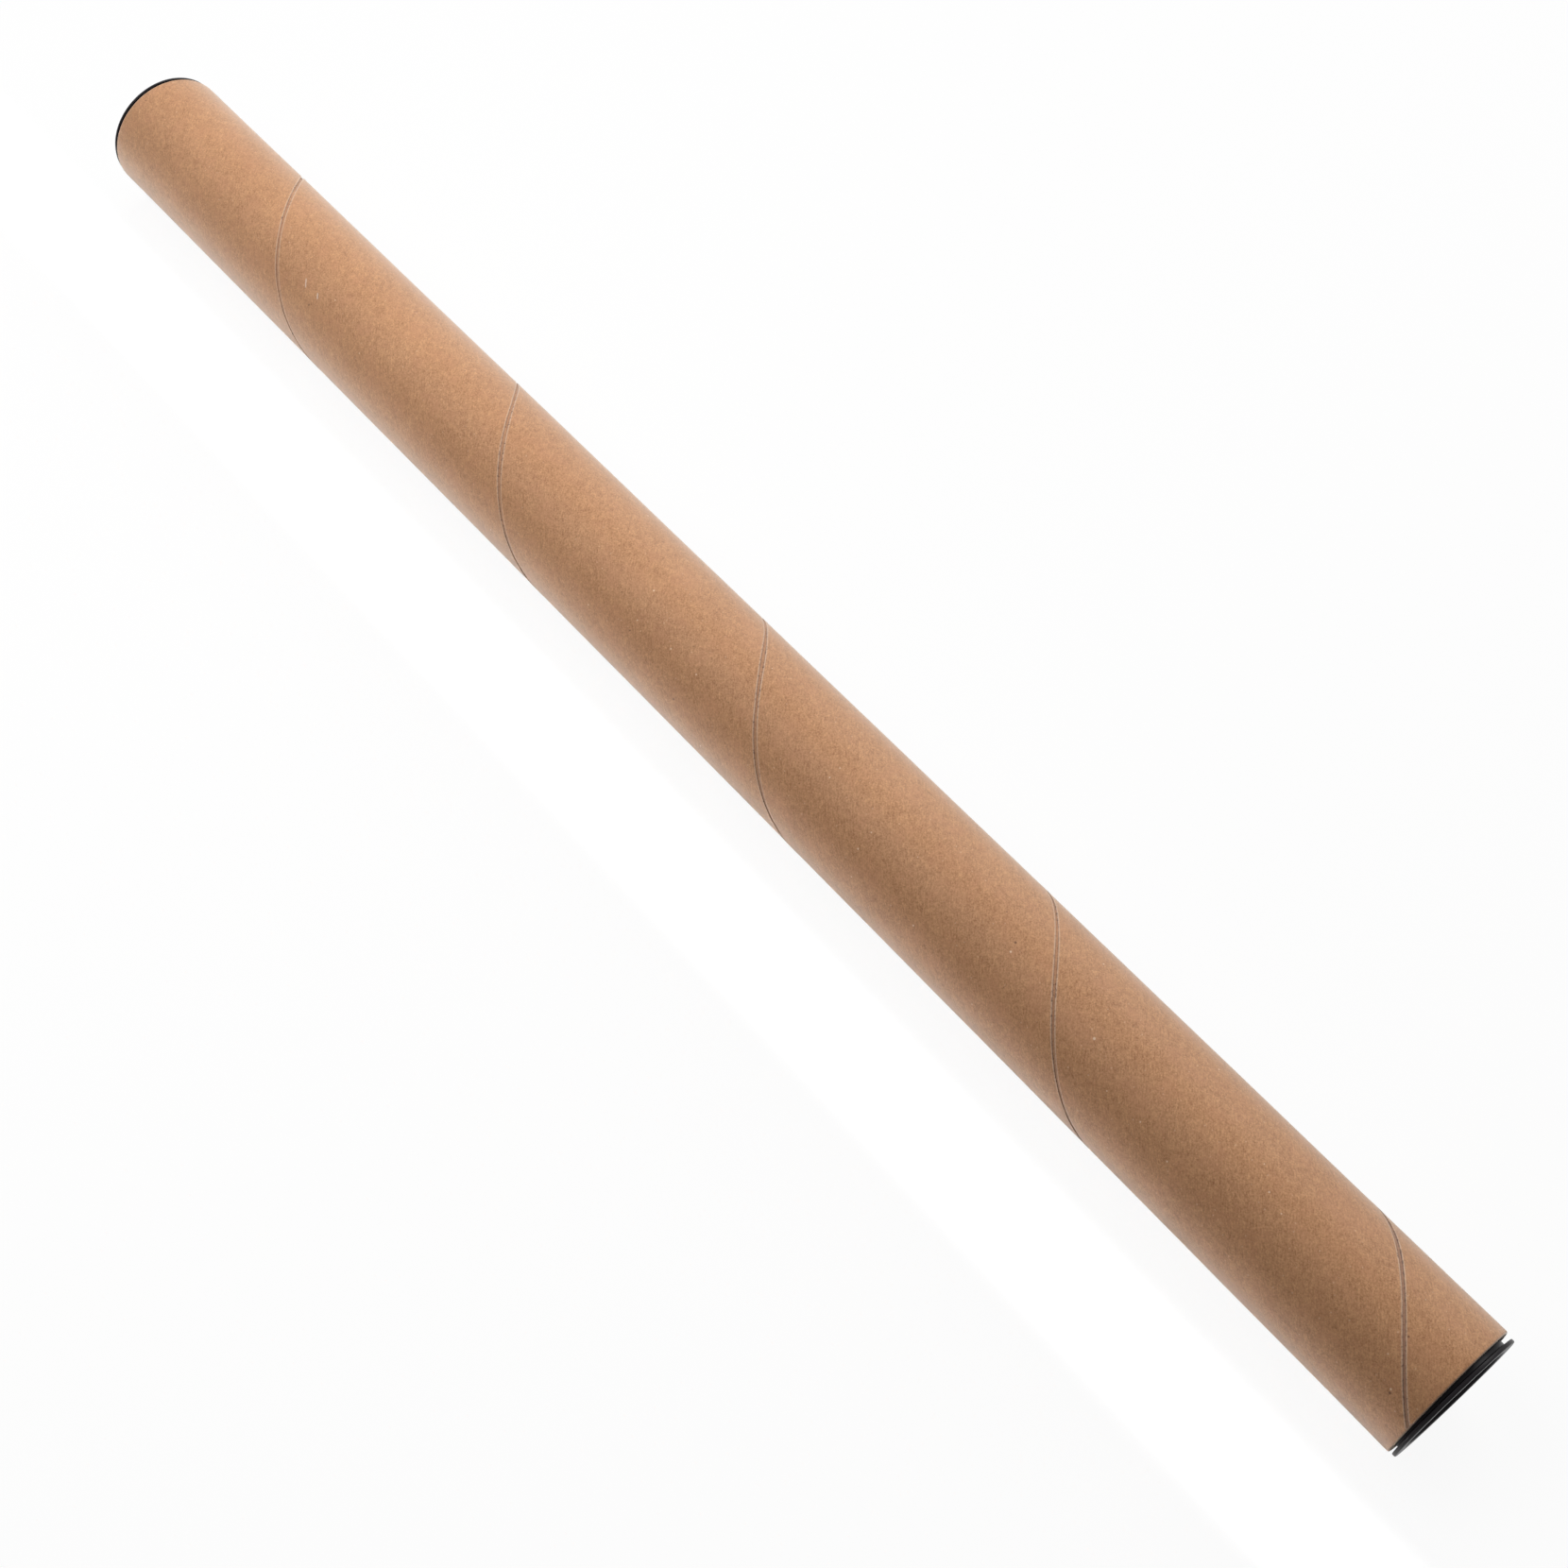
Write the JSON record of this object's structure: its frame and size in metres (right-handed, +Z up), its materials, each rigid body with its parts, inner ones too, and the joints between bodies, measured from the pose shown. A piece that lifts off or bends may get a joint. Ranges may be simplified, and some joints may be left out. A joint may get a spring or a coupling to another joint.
{
  "type": "cardboard storage tube",
  "caption": "Long slim spiral-wound kraft card tube with a flanged black plastic plug pressed into each end, for keeping rolled sheets.",
  "frame": {"origin": "under the middle of the whole length, on the surface that the tube lies on", "axes": "+X along the tube's axis, towards the end whose plug sits askew; +Z up"},
  "size_m": [0.4926, 0.035, 0.0349],
  "materials": {
    "kraft_card": "smooth calendered brown kraft paper, matt, with fine fibre flecks",
    "black_plastic": "moulded low-density polyethylene, satin black"
  },
  "bodies": {
    "tube": {"tube_body": "kraft_card"},
    "near_plug": {"near_cap": "black_plastic"},
    "far_plug": {"far_cap": "black_plastic"}
  },
  "joints": [
    {"name": "near_cap_pull", "type": "slide", "parent": "tube", "child": "near_plug", "axis": [1, 0, 0], "range_m": [-0.0003, 0.03]},
    {"name": "far_cap_pull", "type": "slide", "parent": "tube", "child": "far_plug", "axis": [-1, 0, 0], "range_m": [-0.0003, 0.03]}
  ]
}
